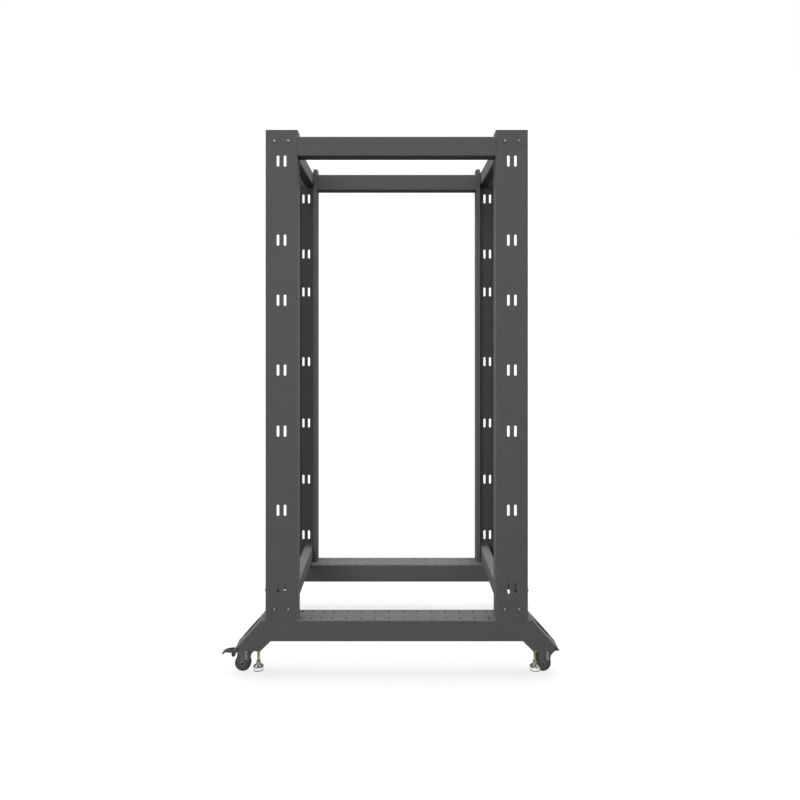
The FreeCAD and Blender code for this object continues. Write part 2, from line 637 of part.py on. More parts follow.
def make_foot():
    """The foot of the front right corner: its pad, stud and nut."""
    spot = ("-(base_length / 2 - foot_inset_x)", "-(frame_width / 2 - foot_inset_y)")
    foot = new_body("foot_pad_front_right", place=spot + ("foot_level",))
    rim = new_sketch(foot, "XY_Plane", "rim")
    add_polygon(rim, "0", "0", "foot_pad_radius", 24)
    block = pad(foot, rim, "foot_pad_height")
    doc.recompute()
    top = [f"Face{index + 1}" for index, face in enumerate(block.Shape.Faces)
           if face.CenterOfMass.z > amount("foot_pad_height") - 0.01]
    cone = foot.newObject("PartDesign::Chamfer", "foot_cone")
    cone.Base = (block, top)
    cone.ChamferType = "Two distances"
    cone.setExpression("Size", bound("foot_pad_height - foot_pad_rim"))
    cone.setExpression("Size2", bound("foot_pad_radius - foot_neck"))
    foot.Tip = cone
    stud = new_body("foot_stud_front_right", place=spot + ("foot_level + foot_pad_height",))
    hexagon = new_sketch(stud, "XY_Plane", "hexagon")
    add_polygon(hexagon, "0", "0", "hex_flats / sqrt(3)", 6)
    pad(stud, hexagon, "hex_height")
    rod = new_sketch(stud, "XY_Plane", "rod")
    add_polygon(rod, "0", "0", "stud_radius", 16)
    pad(stud, rod, "stud_length")
    nut = new_body("foot_nut_front_right", place=spot + ("leg_level - nut_height",))
    flats = new_sketch(nut, "XY_Plane", "flats")
    add_polygon(flats, "0", "0", "nut_flats / sqrt(3)", 6)
    add_polygon(flats, "0", "0", f"(stud_radius + stud_fit) / {math.cos(math.pi / 12):.6f}", 12)
    pad(nut, flats, "nut_height")
    return foot, stud, nut


# The front left caster stands turned half round, with its pedal below the base beam.
for corner, turn in (("front_right", 0), ("front_left", 180), ("rear_right", 0)):
    fork = make_fork(corner, turn)
    wheel = make_wheel(corner, turn)
    if "front" in corner:
        make_pedal(corner, turn)
mirror("caster_fork_rear_left", fork, (0, 1, 0))
mirror("caster_wheel_rear_left", wheel, (0, 1, 0))
for piece in (make_caster_plate(),) + make_foot():
    rear = mirror(piece.Label.replace("front", "rear"), piece, (1, 0, 0))
    mirror(piece.Label.replace("right", "left"), piece, (0, 1, 0))
    mirror(rear.Label.replace("right", "left"), rear, (0, 1, 0))

doc.recompute()

for item in doc.Objects:
    if "Invalid" in item.State or "Error" in item.State:
        raise RuntimeError(f"{item.Name} did not recompute: {item.State}")
for node in NODES:
    if node.Shape.isNull() or not node.Shape.isValid():
        raise RuntimeError(f"{node.Label} has no valid shape")

os.makedirs("parts", exist_ok=True)
for node in NODES:
    node.Shape.exportStep(f"parts/{node.Label}.step")
    print(node.Label, len(node.Shape.Solids), round(node.Shape.Volume))
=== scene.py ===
import json
import math

import bmesh
import bpy
from mathutils import Matrix, Vector


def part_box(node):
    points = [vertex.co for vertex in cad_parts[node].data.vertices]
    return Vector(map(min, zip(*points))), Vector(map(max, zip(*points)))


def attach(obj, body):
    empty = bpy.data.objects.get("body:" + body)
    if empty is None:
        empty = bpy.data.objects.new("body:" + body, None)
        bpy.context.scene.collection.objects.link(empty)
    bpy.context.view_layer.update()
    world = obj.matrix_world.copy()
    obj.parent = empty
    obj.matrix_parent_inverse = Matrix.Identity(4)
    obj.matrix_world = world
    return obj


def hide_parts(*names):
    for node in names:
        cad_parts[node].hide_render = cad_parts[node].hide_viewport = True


# Looks of the four post open frame rack: finishes, screws, rivets, threads, wheels, stage and camera.
# Sizes are in metres, except in outlines, whose points are in millimetres until in_metres turns them.
# +X points to the rear of the rack, +Y to its left side and +Z up.

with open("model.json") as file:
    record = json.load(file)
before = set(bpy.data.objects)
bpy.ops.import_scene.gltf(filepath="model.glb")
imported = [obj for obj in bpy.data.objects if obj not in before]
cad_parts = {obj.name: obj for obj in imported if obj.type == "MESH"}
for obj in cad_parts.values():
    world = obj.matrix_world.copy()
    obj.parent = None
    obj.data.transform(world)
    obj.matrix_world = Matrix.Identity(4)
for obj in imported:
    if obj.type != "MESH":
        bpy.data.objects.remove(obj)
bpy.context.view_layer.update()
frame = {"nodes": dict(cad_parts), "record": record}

MM = 0.001
QUARTER_TURN = math.pi / 2
SMOOTH_ANGLE = math.radians(35.0)
UP = (0.0, 0.0, 1.0)
DOWN = (0.0, 0.0, -1.0)
CORNERS = [
    ("front_right", -1, -1),
    ("rear_right", 1, -1),
    ("front_left", -1, 1),
    ("rear_left", 1, 1),
]
SIDES = [("right", -1), ("left", 1)]


def middle(node):
    """The centre of a CAD node's box."""
    low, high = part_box(node)
    return (Vector(low) + Vector(high)) / 2


# Materials

RAMP_SPAN = (0.3, 0.7)
WEAR_PATCHES = 3.0
GRAIN_DEPTH = 0.4 * MM
WHITE = (1.0, 1.0, 1.0, 1.0)


def add_node(tree, kind, **values):
    node = tree.nodes.new(kind)
    for name, value in values.items():
        node.inputs[name].default_value = value
    return node


def map_range(tree, from_span, to_span):
    """A node that carries a value from one span to another."""
    node = tree.nodes.new("ShaderNodeMapRange")
    node.inputs["From Min"].default_value = from_span[0]
    node.inputs["From Max"].default_value = from_span[1]
    node.inputs["To Min"].default_value = to_span[0]
    node.inputs["To Max"].default_value = to_span[1]
    return node


def finish_of(name, colour, roughness, metallic=0.0, grain=0.0, grain_scale=900.0, mottle=0.0,
              mottle_scale=25.0, wear=0.0, shine=0.5):
    """A finish from one shader: its colour, with slow mottling, uneven gloss and a fine grain if asked."""
    material = bpy.data.materials.new(name)
    material.use_nodes = True
    tree = material.node_tree
    shader = tree.nodes["Principled BSDF"]
    shader.inputs["Metallic"].default_value = metallic
    shader.inputs["Roughness"].default_value = roughness
    shader.inputs["Base Color"].default_value = (*colour, 1.0)
    shader.inputs["Specular IOR Level"].default_value = shine
    place = tree.nodes.new("ShaderNodeTexCoord")
    if mottle:
        cloud = add_node(tree, "ShaderNodeTexNoise", Scale=mottle_scale, Detail=4.0, Roughness=0.6)
        ramp = tree.nodes.new("ShaderNodeValToRGB")
        shades = (1.0 - mottle, 1.0 + mottle)
        for element, position, shade in zip(ramp.color_ramp.elements, RAMP_SPAN, shades):
            element.position = position
            element.color = (*[share * shade for share in colour], 1.0)
        tree.links.new(place.outputs["Object"], cloud.inputs["Vector"])
        tree.links.new(cloud.outputs["Fac"], ramp.inputs["Fac"])
        tree.links.new(ramp.outputs["Color"], shader.inputs["Base Color"])
    if wear:
        patch = add_node(tree, "ShaderNodeTexNoise", Scale=mottle_scale * WEAR_PATCHES, Detail=3.0,
                         Roughness=0.5)
        gloss = map_range(tree, (0.0, 1.0), (max(roughness - wear, 0.0), min(roughness + wear, 1.0)))
        tree.links.new(place.outputs["Object"], patch.inputs["Vector"])
        tree.links.new(patch.outputs["Fac"], gloss.inputs["Value"])
        tree.links.new(gloss.outputs["Result"], shader.inputs["Roughness"])
    if grain:
        speck = add_node(tree, "ShaderNodeTexNoise", Scale=grain_scale, Detail=2.0, Roughness=0.5)
        bump = add_node(tree, "ShaderNodeBump", Strength=grain, Distance=GRAIN_DEPTH)
        tree.links.new(place.outputs["Object"], speck.inputs["Vector"])
        tree.links.new(speck.outputs["Fac"], bump.inputs["Height"])
        tree.links.new(bump.outputs["Normal"], shader.inputs["Normal"])
    return material


def zinc_of(name, colour, roughness, mottle):
    """Bright plating in one of its tones."""
    return finish_of(name, colour, roughness, metallic=1.0, grain=0.1, grain_scale=500.0, mottle=mottle,
                     mottle_scale=90.0, wear=0.1)


PAINT = finish_of("powder_coat", (0.08, 0.0795, 0.08), 0.7, grain=0.2, mottle=0.03, wear=0.04,
                  shine=0.04)
CASTER_STEEL = finish_of("caster_coating", (0.05, 0.05, 0.05), 0.34, metallic=0.6, grain=0.12,
                         grain_scale=600.0, mottle=0.14, mottle_scale=60.0, wear=0.08)
PEDAL_STEEL = finish_of("pedal_coating", (0.035, 0.035, 0.036), 0.4, metallic=0.5, grain=0.12,
                        grain_scale=600.0, mottle=0.12, mottle_scale=60.0, wear=0.06)
# A lighter copy of the fork's steel for the pressed ribs: a painted highlight along each rib.
RIB_HIGHLIGHT_STEEL = finish_of("rib_painted_highlight", (0.17, 0.17, 0.17), 0.36, metallic=0.9, grain=0.06, mottle=0.1,
                       mottle_scale=120.0, wear=0.06)
RUBBER = finish_of("tread_rubber", (0.014, 0.014, 0.014), 0.6, grain=0.3, grain_scale=700.0,
                   mottle=0.15, mottle_scale=80.0, shine=0.3)
HUB = finish_of("wheel_core", (0.04, 0.04, 0.042), 0.45, grain=0.15, grain_scale=500.0, mottle=0.1)
ZINC = zinc_of("zinc_plate", (0.72, 0.71, 0.67), 0.3, mottle=0.14)
# A darker copy of the pad's plating for the cones: painted dark reflection.
CONE_REFLECTION_ZINC = zinc_of("cone_painted_reflection_zinc", (0.13, 0.127, 0.11), 0.3, mottle=0.14)
STUD_ZINC = zinc_of("stud_zinc", (0.23, 0.205, 0.12), 0.32, mottle=0.16)
SCREW = finish_of("screw_steel", (0.17, 0.17, 0.171), 0.32, metallic=0.9, grain=0.06, mottle=0.12,
                  mottle_scale=200.0, wear=0.08)
RIVET = finish_of("rivet_steel", (0.16, 0.16, 0.16), 0.36, metallic=0.9, grain=0.08, mottle=0.15,
                  mottle_scale=200.0, wear=0.08)
# Near-black for pieces that paint shade: painted shade under the fork crowns, round the web screws, in the
# deck holes and the leg openings, and painted dark reflection lines on the pads.
PAINTED_SHADE = finish_of("painted_shade_black", (0.012, 0.012, 0.012), 0.5, grain=0.1, mottle=0.1, shine=0.25)
# Near-black for the discs across the rivets' pits: painted shade.
PAINTED_PIT_SHADE = finish_of("recess_shade", (0.01, 0.01, 0.01), 0.8, grain=0.1, shine=0.2)

FINISH = {
    "frame_paint": PAINT,
    "caster_metal": CASTER_STEEL,
    "pedal_metal": PEDAL_STEEL,
    "wheel_tread": RUBBER,
    "zinc_steel": ZINC,
}

for part in frame["record"]["subparts"]:
    node = frame["nodes"][part["node"]]
    node.data.materials.clear()
    if part["node"].startswith("foot_nut"):
        node.data.materials.append(STUD_ZINC)
    else:
        node.data.materials.append(FINISH[part["material_slot"]])


# Mesh helpers


def new_piece(name, mesh, material, place=(0.0, 0.0, 0.0), turn=None):
    """A mesh object at a place, with its axis turned if asked."""
    shape = bpy.data.meshes.new(name)
    matrix = Matrix.Translation(Vector(place))
    if turn is not None:
        matrix = matrix @ turn
    bmesh.ops.recalc_face_normals(mesh, faces=mesh.faces)
    mesh.to_mesh(shape)
    mesh.free()
    shape.transform(matrix)
    shape.materials.append(material)
    piece = bpy.data.objects.new(name, shape)
    bpy.context.scene.collection.objects.link(piece)
    for face in shape.polygons:
        face.use_smooth = True
    shape.set_sharp_from_angle(angle=SMOOTH_ANGLE)
    return piece


def face_turn(axis):
    """The turn that brings +Z to the given axis."""
    return Vector(UP).rotation_difference(Vector(axis)).to_matrix().to_4x4()


def in_metres(outline):
    """An outline given in millimetres, in metres."""
    return [(first * MM, second * MM) for first, second in outline]


def quarter(steps, first=1):
    """The angles of a quarter turn in equal steps."""
    return [QUARTER_TURN * step / steps for step in range(first, steps + 1)]


def mirrored(outline):
    """The points of one half of a (radius, height) outline, then those of its other half."""
    return outline + [(radius, -height) for radius, height in reversed(outline)]


def add_ring(mesh, radius, height, sides, start=0.0):
    """The corners of a level ring about Z. The start is a share of one side."""
    ring = []
    for index in range(sides):
        angle = 2.0 * math.pi * (index + start) / sides
        ring.append(mesh.verts.new((radius * math.cos(angle), radius * math.sin(angle), height)))
    return ring


def join_rings(mesh, lower, upper):
    """A band of faces between two rings with the same number of corners."""
    for index in range(len(lower)):
        after = (index + 1) % len(lower)
        mesh.faces.new((lower[index], lower[after], upper[after], upper[index]))


def close_rod(mesh, rings):
    """The bands between rings, and a face on either end."""
    for lower, upper in zip(rings, rings[1:]):
        join_rings(mesh, lower, upper)
    mesh.faces.new(list(reversed(rings[0])))
    mesh.faces.new(rings[-1])


def lathe(outline, sides, closed=False):
    """A round body from (radius, height) points turned about Z. A point at radius 0 becomes a tip."""
    mesh = bmesh.new()
    rings = []
    for radius, height in outline:
        if radius > 0.0:
            rings.append(add_ring(mesh, radius, height, sides))
        else:
            rings.append([mesh.verts.new((0.0, 0.0, height))])
    pairs = list(zip(rings, rings[1:]))
    if closed:
        pairs.append((rings[-1], rings[0]))
    for lower, upper in pairs:
        if len(lower) == len(upper):
            join_rings(mesh, lower, upper)
            continue
        for index in range(sides):
            after = (index + 1) % sides
            if len(lower) == 1:
                mesh.faces.new((lower[0], upper[after], upper[index]))
            else:
                mesh.faces.new((lower[index], lower[after], upper[0]))
    return mesh


WELD_DISTANCE = 0.001 * MM
FLAT_ANGLE = math.radians(1.0)


def softened(name, node, material, width):
    """The mesh of a CAD node with its sharp edges rounded, in place of that node."""
    source = frame["nodes"][node]
    mesh = bmesh.new()
    mesh.from_mesh(source.data)
    mesh.transform(source.matrix_world)
    bmesh.ops.remove_doubles(mesh, verts=mesh.verts[:], dist=WELD_DISTANCE)
    bmesh.ops.dissolve_limit(mesh, angle_limit=FLAT_ANGLE, verts=mesh.verts[:], edges=mesh.edges[:])
    sharp = [edge for edge in mesh.edges
             if edge.is_manifold and edge.calc_face_angle(0.0) > SMOOTH_ANGLE]
    bmesh.ops.bevel(mesh, geom=sharp, offset=width, segments=2, profile=0.5, affect="EDGES",
                    clamp_overlap=True)
    return new_piece(name, mesh, material)


# Screws, washers and threads

HEAD_SIDES = 28
HEAD_ARC_STEPS = 6
HEAD_WALL = 0.35
HEAD_ROUNDING = 0.45
PIT_EDGE = 0.42
PIT_WALL = 0.36
PIT_WALL_HEIGHT = 0.55
PIT_FLOOR = 0.12
PIT_FLOOR_HEIGHT = 0.3
WASHER_SIDES = 32
WASHER_EASE = 0.3
HEXAGON = 6
CHAMFER_SLOPE = 0.6
ROD_SIDES = 28
STEPS_PER_PITCH = 4
CREST_SHARE = 1.25


def pan_head(radius, height):
    """A low round head with a round pit for the driver."""
    wall = height * HEAD_WALL
    outline = [(radius, 0.0), (radius, wall)]
    outline += [(radius - radius * HEAD_ROUNDING * (1 - math.cos(angle)),
                 wall + (height - wall) * math.sin(angle)) for angle in quarter(HEAD_ARC_STEPS)]
    outline += [(radius * PIT_EDGE, height), (radius * PIT_WALL, height * PIT_WALL_HEIGHT),
                (radius * PIT_FLOOR, height * PIT_FLOOR_HEIGHT), (0.0, height * PIT_FLOOR_HEIGHT)]
    return lathe(outline, HEAD_SIDES)


def washer(outer, inner, thick):
    """A flat washer with eased edges."""
    ease = thick * WASHER_EASE
    return lathe([(inner, 0.0), (outer, 0.0), (outer, thick - ease), (outer - ease, thick),
                  (inner + ease, thick), (inner, thick - ease)], WASHER_SIDES, closed=True)


def add_hexagon(mesh, radius, height, chamfer):
    """A hexagon with chamfered ends, as on nuts and bolt heads."""
    slope = chamfer * CHAMFER_SLOPE
    levels = [(radius - chamfer, 0.0), (radius, slope), (radius, height - slope),
              (radius - chamfer, height)]
    close_rod(mesh, [add_ring(mesh, size, level, HEXAGON, start=0.5) for size, level in levels])


def add_thread(mesh, radius, depth, pitch, low, high):
    """A screw thread: rings of a rod whose radius follows the helix."""
    count = int(round((high - low) / pitch * STEPS_PER_PITCH))
    rings = []
    for row in range(count + 1):
        height = low + (high - low) * row / count
        ring = []
        for index in range(ROD_SIDES):
            angle = 2.0 * math.pi * index / ROD_SIDES
            phase = ((height - low) / pitch - index / ROD_SIDES) % 1.0
            rise = 1.0 - abs(2.0 * phase - 1.0)
            size = radius - depth * (1.0 - min(rise * CREST_SHARE, 1.0))
            if row in (0, count):
                size = radius - depth
            ring.append(mesh.verts.new((size * math.cos(angle), size * math.sin(angle), height)))
        rings.append(ring)
    close_rod(mesh, rings)


# Screws on the posts' webs, which hold the cross beams, each with a near-black ring round its head as
# painted shadow

WEB_SCREW_RADIUS = 4.4 * MM
WEB_SCREW_HEIGHT = 3.0 * MM
WEB_SCREW_OFFSET = 21.2 * MM
WEB_SHADE_RING_OUTER = 6.2 * MM
WEB_SHADE_RING_INNER = 3.6 * MM
WEB_SHADE_RING_THICK = 0.7 * MM


def add_web_screws(corner, x_sign, y_sign):
    low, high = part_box(f"post_{corner}")
    web = low[1] if y_sign < 0 else high[1]
    end = "front" if x_sign < 0 else "rear"
    turn = face_turn((0.0, y_sign, 0.0))
    for level in ("bottom", "top"):
        beam = middle(f"cross_beam_{level}_{end}")
        for side in (-1, 1):
            spot = (beam.x + side * WEB_SCREW_OFFSET, web, beam.z)
            head = new_piece(f"screw_{level}_{corner}_{side + 1}",
                             pan_head(WEB_SCREW_RADIUS, WEB_SCREW_HEIGHT), SCREW, spot, turn)
            # A near-black ring under each head: painted shadow round the screw.
            ring = new_piece(f"screw_washer_{level}_{corner}_{side + 1}",
                             washer(WEB_SHADE_RING_OUTER, WEB_SHADE_RING_INNER, WEB_SHADE_RING_THICK), PAINTED_SHADE,
                             spot, turn)
            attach(head, "frame")
            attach(ring, "frame")


# Caster wheels: a tyre with rounded shoulders and a raised lip, on a core

TYRE_SIDES = 72
SHOULDER_STEPS = 6
TYRE_BORE = 10.5 * MM
SHOULDER = 3.2 * MM
LIP_INNER = 17.2 * MM
LIP_OUTER = 17.8 * MM
FACE_INSET = 0.9 * MM
LIP_INSET = 0.2 * MM
CORE_SIDES = 48
CORE_BORE = 4.15 * MM
CORE_BOSS = 8.0 * MM
CORE_EDGE = 8.6 * MM
CORE_RADIUS = 10.6 * MM
CORE_EASE = 0.5 * MM
CORE_INSET = 1.6 * MM


def add_wheel(corner):
    low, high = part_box(f"caster_wheel_{corner}")
    hub = middle(f"caster_wheel_{corner}")
    radius = (high[2] - low[2]) / 2
    half = (high[1] - low[1]) / 2
    turn = face_turn((0.0, 1.0, 0.0))
    tyre_half = [(TYRE_BORE, -half + FACE_INSET), (LIP_INNER, -half + FACE_INSET),
                 (LIP_OUTER, -half + LIP_INSET)]
    tyre_half += [(radius - SHOULDER + SHOULDER * math.sin(angle),
                   -half + SHOULDER - SHOULDER * math.cos(angle))
                  for angle in quarter(SHOULDER_STEPS, first=0)]
    core_half = [(CORE_BORE, -half), (CORE_BOSS, -half), (CORE_EDGE, -half + CORE_EASE),
                 (CORE_RADIUS, -half + CORE_INSET)]
    tyre = new_piece(f"tyre_{corner}", lathe(mirrored(tyre_half), TYRE_SIDES, closed=True), RUBBER,
                     hub, turn)
    core = new_piece(f"core_{corner}", lathe(mirrored(core_half), CORE_SIDES, closed=True), HUB,
                     hub, turn)
    for piece in (tyre, core):
        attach(piece, f"wheel_{corner}")
    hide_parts(f"caster_wheel_{corner}")


# Caster forks: rounded edges, a pressed rib on each cheek in a lighter steel as a painted highlight, and
# the axle's riveted ends with a near-black disc across each pit as painted shade

FORK_EDGE = 0.6 * MM
CHEEK = 12.0 * MM
RIB_STAND = 2.9 * MM
RIB_WIDTH = 8.6 * MM
RIB_RISE = 1.3 * MM
RIB_LENGTH = 36.5 * MM
RIB_DROP = 21.5 * MM
RIB_ROWS = 20
RIB_COLUMNS = 12
RIB_BLUNTNESS = 0.15
RIVET_SIDES = 36
RIVET_OUTLINE = [(6.4, 0.0), (6.6, 0.7), (6.2, 1.5), (5.6, 1.9), (4.9, 1.8), (4.5, 1.2), (4.4, -0.6),
                 (0.0, -0.6)]
RIVET_PIT_SHADE_SIDES = 24
RIVET_PIT_SHADE_OUTLINE = [(0.0, 1.52), (4.46, 1.52), (4.46, 1.56), (0.0, 1.56)]


def pressed_rib():
    """A rounded rib along Y, standing up in Z, with eased ends and a closed back."""
    mesh = bmesh.new()
    grid = []
    for row in range(RIB_ROWS + 1):
        along = row / RIB_ROWS
        reach = min(along, 1.0 - along) * RIB_LENGTH / (RIB_WIDTH * 0.5)
        end = math.sqrt(max(1.0 - (1.0 - min(reach, 1.0)) ** 2, 0.0))
        width = RIB_WIDTH * max(end, RIB_BLUNTNESS)
        line = []
        for column in range(RIB_COLUMNS + 1):
            across = -math.cos(math.pi * column / RIB_COLUMNS)
            lift = RIB_RISE * math.sqrt(max(1.0 - across * across, 0.0)) * end
            line.append(mesh.verts.new((across * width / 2, (along - 0.5) * RIB_LENGTH, lift)))
        grid.append(line)
    for near, far in zip(grid, grid[1:]):
        for column in range(RIB_COLUMNS):
            mesh.faces.new((near[column], near[column + 1], far[column + 1], far[column]))
    back = [line[0] for line in grid] + grid[-1][1:-1] + [line[-1] for line in reversed(grid)]
    back += list(reversed(grid[0][1:-1]))
    mesh.faces.new(back)
    return mesh


def add_fork(corner):
    fork = softened(f"fork_{corner}", f"caster_fork_{corner}", CASTER_STEEL, FORK_EDGE)
    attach(fork, f"caster_{corner}")
    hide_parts(f"caster_fork_{corner}")
    hub = middle(f"caster_wheel_{corner}")
    swivel = middle(f"caster_plate_{corner}")
    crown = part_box(f"caster_fork_{corner}")[1][2]
    for side in (-1, 1):
        turn = face_turn((0.0, side, 0.0))
        rib_spot = (swivel.x, hub.y + side * (CHEEK + RIB_STAND), crown - RIB_DROP)
        rivet_spot = (hub.x, hub.y + side * CHEEK, hub.z)
        # The rib's lighter steel paints a highlight along it.
        rib = new_piece(f"fork_bead_{corner}_{side + 1}", pressed_rib(), RIB_HIGHLIGHT_STEEL, rib_spot, turn)
        rivet = new_piece(f"rivet_{corner}_{side + 1}", lathe(in_metres(RIVET_OUTLINE), RIVET_SIDES),
                          RIVET, rivet_spot, turn)
        # A near-black disc across the rivet's pit: painted shade.
        pit = new_piece(f"rivet_pit_shade_{corner}_{side + 1}",
                        lathe(in_metres(RIVET_PIT_SHADE_OUTLINE), RIVET_PIT_SHADE_SIDES), PAINTED_PIT_SHADE, rivet_spot, turn)
        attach(rib, f"caster_{corner}")
        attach(rivet, f"caster_{corner}")
        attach(pit, f"caster_{corner}")


# Caster tops: a near-black skirt on the fork's crown as painted shade under the base beam, the race under
# the plate and the plate's screws

RACE_SIDES = 56
CROWN_SHADE_OUTLINE = [(20.5, 0.9), (25.2, 0.3), (26.2, -0.8), (26.2, -6.0), (25.2, -6.0), (25.1, -0.6),
                      (20.5, 0.1)]
RACE_OUTLINE = [(14.6, 0.0), (17.4, 0.0), (17.0, -0.9), (16.0, -2.3), (15.1, -2.8), (14.6, -2.8)]
PLATE_THICK = 3.0 * MM
PLATE_SCREW_RADIUS = 3.6 * MM
PLATE_SCREW_HEIGHT = 1.9 * MM
PLATE_SCREW_OFFSET = 19.0 * MM


def add_caster_top(corner):
    hub = middle(f"caster_wheel_{corner}")
    plate = middle(f"caster_plate_{corner}")
    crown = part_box(f"caster_fork_{corner}")[1][2]
    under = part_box(f"caster_plate_{corner}")[1][2] - PLATE_THICK
    # The near-black skirt on the crown paints the shade under the base beam.
    skirt = new_piece(f"painted_shade_black_{corner}",
                      lathe(in_metres(CROWN_SHADE_OUTLINE), RACE_SIDES, closed=True), PAINTED_SHADE,
                      (plate.x, hub.y, crown))
    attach(skirt, f"caster_{corner}")
    ring = new_piece(f"race_{corner}", lathe(in_metres(RACE_OUTLINE), RACE_SIDES, closed=True),
                     CASTER_STEEL, (plate.x, plate.y, under))
    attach(ring, "frame")
    for x_side in (-1, 1):
        for y_side in (-1, 1):
            spot = (plate.x + x_side * PLATE_SCREW_OFFSET, plate.y + y_side * PLATE_SCREW_OFFSET, under)
            screw = new_piece(f"plate_screw_{corner}_{x_side + 1}{y_side + 1}",
                              pan_head(PLATE_SCREW_RADIUS, PLATE_SCREW_HEIGHT), SCREW, spot,
                              face_turn(DOWN))
            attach(screw, "frame")


# Levelling feet: smooth pads with near-black lines at their edges as painted dark reflections, a cone in a
# darker copy of the plating as painted dark reflection, threaded studs and a collar on each nut

PAD_SIDES = 64
PAD_ARC_STEPS = 4
PAD_FOOT_WIDTH = 1.0 * MM
PAD_FOOT_STEP = 2.0 * MM
PAD_SOLE_INSET = 2.6 * MM
PAD_SOLE_HEIGHT = 0.6 * MM
PAD_ROUNDING = 1.0 * MM
PAD_WALL_TOP = 10.4 * MM
PAD_EASE = (0.5 * MM, 11.6 * MM)
PAD_TOP_INSET = 1.6 * MM
PAD_TOP = 12.3 * MM
CONE_START = 12.0 * MM
CONE_STEPS = [(1.8 * MM, 12.0 * MM), (4.6 * MM, 14.8 * MM), (7.2 * MM, 18.2 * MM)]
CONE_NECK = 6.6 * MM
CONE_TOP = 5.9 * MM
CONE_NECK_DROP = 1.4 * MM
REFLECTION_LINES = [(0.4 * MM, 2.2 * MM), (10.8 * MM, 12.0 * MM)]
REFLECTION_LINE_DEPTH = 1.6 * MM
REFLECTION_LINE_STAND = 0.15 * MM
THREAD_RADIUS = 4.0 * MM
THREAD_DEPTH = 0.6 * MM
THREAD_PITCH = 1.25 * MM
THREAD_START = 6.0 * MM
STUD_HEX_RADIUS = 6.9 * MM
STUD_HEX_HEIGHT = 6.2 * MM
STUD_HEX_CHAMFER = 0.6 * MM
COLLAR_SIDES = 40
COLLAR_OUTLINE = [(4.2, 0.0), (6.3, 0.0), (6.1, -0.35), (5.2, -0.45), (4.2, -0.1)]


def add_pad(corner):
    low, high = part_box(f"foot_pad_{corner}")
    centre = middle(f"foot_pad_{corner}")
    rim = (high[0] - low[0]) / 2
    rise = high[2] - low[2]
    spot = (centre.x, centre.y, low[2])
    outline = [(0.0, PAD_SOLE_HEIGHT), (rim - PAD_SOLE_INSET, PAD_SOLE_HEIGHT),
               (rim - PAD_FOOT_STEP, 0.0), (rim - PAD_FOOT_WIDTH, 0.0)]
    outline += [(rim - PAD_ROUNDING + PAD_ROUNDING * math.sin(angle),
                 PAD_ROUNDING - PAD_ROUNDING * math.cos(angle)) for angle in quarter(PAD_ARC_STEPS)]
    outline += [(rim, PAD_WALL_TOP), (rim - PAD_EASE[0], PAD_EASE[1]), (rim - PAD_TOP_INSET, PAD_TOP),
                (0.0, PAD_TOP)]
    cone_outline = [(0.0, CONE_START)]
    cone_outline += [(rim - inset, height) for inset, height in CONE_STEPS]
    cone_outline += [(CONE_NECK, rise - CONE_NECK_DROP), (CONE_TOP, rise), (0.0, rise)]
    pad = new_piece(f"pad_{corner}", lathe(outline, PAD_SIDES), ZINC, spot)
    # The cone's darker plating is painted dark reflection.
    cone = new_piece(f"pad_cone_{corner}", lathe(cone_outline, PAD_SIDES), CONE_REFLECTION_ZINC, spot)
    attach(cone, f"foot_{corner}")
    # Two near-black rings at each pad's edges: painted dark reflections.
    for mark, (bottom, top) in enumerate(REFLECTION_LINES):
        inner = rim - REFLECTION_LINE_DEPTH
        outer = rim + REFLECTION_LINE_STAND
        line_outline = [(inner, bottom), (outer, bottom), (outer, top), (inner, top)]
        edge = new_piece(f"pad_reflection_line_{corner}_{mark}", lathe(line_outline, PAD_SIDES, closed=True),
                         PAINTED_SHADE, spot)
        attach(edge, f"foot_{corner}")
    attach(pad, f"foot_{corner}")
    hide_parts(f"foot_pad_{corner}")


def add_stud(corner):
    low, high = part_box(f"foot_stud_{corner}")
    centre = middle(f"foot_pad_{corner}")
    rod = bmesh.new()
    add_thread(rod, THREAD_RADIUS, THREAD_DEPTH, THREAD_PITCH, THREAD_START, high[2] - low[2])
    add_hexagon(rod, STUD_HEX_RADIUS, STUD_HEX_HEIGHT, STUD_HEX_CHAMFER)
    stud = new_piece(f"stud_{corner}", rod, STUD_ZINC, (centre.x, centre.y, low[2]))
    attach(stud, f"foot_{corner}")
    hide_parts(f"foot_stud_{corner}")
    nut_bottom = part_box(f"foot_nut_{corner}")[0][2]
    collar = new_piece(f"nut_collar_{corner}",
                       lathe(in_metres(COLLAR_OUTLINE), COLLAR_SIDES, closed=True), STUD_ZINC,
                       (centre.x, centre.y, nut_bottom))
    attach(collar, "frame")


# Bolts that hold the posts' feet from inside the base channels

DECK_THICK = 2.5 * MM
BOLT_OFFSET = 24.0 * MM
BOLT_RADIUS = 7.5 * MM
BOLT_HEIGHT = 5.3 * MM
BOLT_CHAMFER = 0.7 * MM
BOLT_WASHER_OUTER = 9.0 * MM
BOLT_WASHER_INNER = 4.2 * MM
BOLT_WASHER_THICK = 1.2 * MM


def add_foot_bolts(corner):
    post = middle(f"post_{corner}")
    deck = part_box("base_beam_right")[1][2] - DECK_THICK
    turn = face_turn(DOWN)
    for side in (-1, 1):
        along = post.x + side * BOLT_OFFSET
        bolt = bmesh.new()
        add_hexagon(bolt, BOLT_RADIUS, BOLT_HEIGHT, BOLT_CHAMFER)
        head = new_piece(f"foot_bolt_{corner}_{side + 1}", bolt, SCREW,
                         (along, post.y, deck - BOLT_WASHER_THICK), turn)
        flat = new_piece(f"foot_washer_{corner}_{side + 1}",
                         washer(BOLT_WASHER_OUTER, BOLT_WASHER_INNER, BOLT_WASHER_THICK), SCREW,
                         (along, post.y, deck), turn)
        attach(head, "frame")
        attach(flat, "frame")


# Near-black linings in the holes of the base beams' tops: painted shade inside the holes

